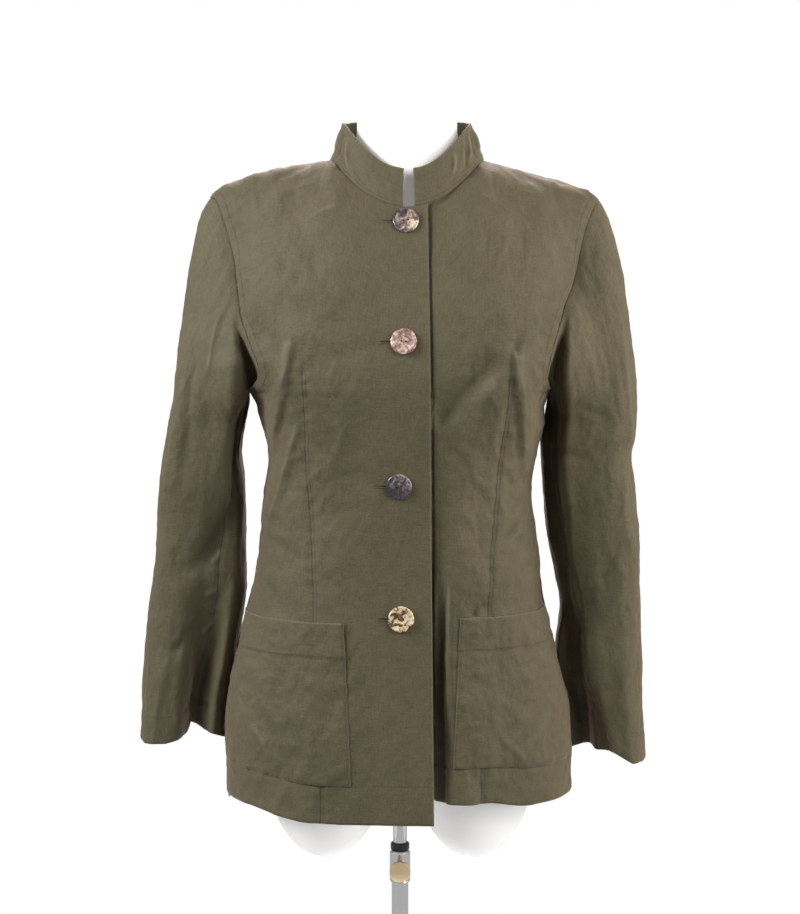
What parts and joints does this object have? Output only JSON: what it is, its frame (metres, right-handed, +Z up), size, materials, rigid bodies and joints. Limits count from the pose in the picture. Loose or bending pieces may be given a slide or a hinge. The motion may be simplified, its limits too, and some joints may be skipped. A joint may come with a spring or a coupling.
{
  "type": "blazer on a limbless dress form",
  "caption": "Waisted cotton jacket with a stand collar, buttoned front, patch pockets and long empty sleeves, worn by a white limbless dress form on a short clamp stand.",
  "frame": {"origin": "centre of the base plate's underside, on the floor", "axes": "+Z up along the pole, the jacket's front faces -Y, the wearer's left is +X"},
  "size_m": [0.513, 0.31, 1.006],
  "materials": {
    "olive_cloth": "plain-weave cotton, soft sheen",
    "shell_grey": "marbled shell, polished",
    "shell_rose": "marbled shell, polished",
    "shell_dark": "marbled shell, polished",
    "shell_cream": "marbled shell, polished",
    "white_form": "smooth white shell",
    "chrome_metal": "bright",
    "black_ring": "satin"
  },
  "bodies": {
    "stand": {"stand_base": "chrome_metal", "stand_tube": "chrome_metal", "stand_clamp": "chrome_metal", "stand_ring": "black_ring"},
    "knob": {"clamp_knob": "chrome_metal"},
    "rod": {"form_rod": "chrome_metal"},
    "form": {"form_torso": "white_form", "front_right": "olive_cloth", "front_left": "olive_cloth", "back_panel": "olive_cloth", "sleeve_right": "olive_cloth", "sleeve_left": "olive_cloth", "collar_band": "olive_cloth", "pocket_right": "olive_cloth", "pocket_left": "olive_cloth", "button_1": "shell_grey", "button_2": "shell_rose", "button_3": "shell_dark", "button_4": "shell_cream"}
  },
  "joints": [
    {"name": "clamp_turn", "type": "hinge", "parent": "stand", "child": "knob", "pos_m": [0, 0, 0.229], "axis": [0, -1, 0], "range_deg": [0, 360]},
    {"name": "height_slide", "type": "slide", "parent": "stand", "child": "rod", "axis": [0, 0, 1], "range_m": [0, 0.12]},
    {"name": "form_turn", "type": "hinge", "parent": "rod", "child": "form", "pos_m": [0, 0, 0.4], "axis": [0, 0, 1], "continuous": true}
  ]
}
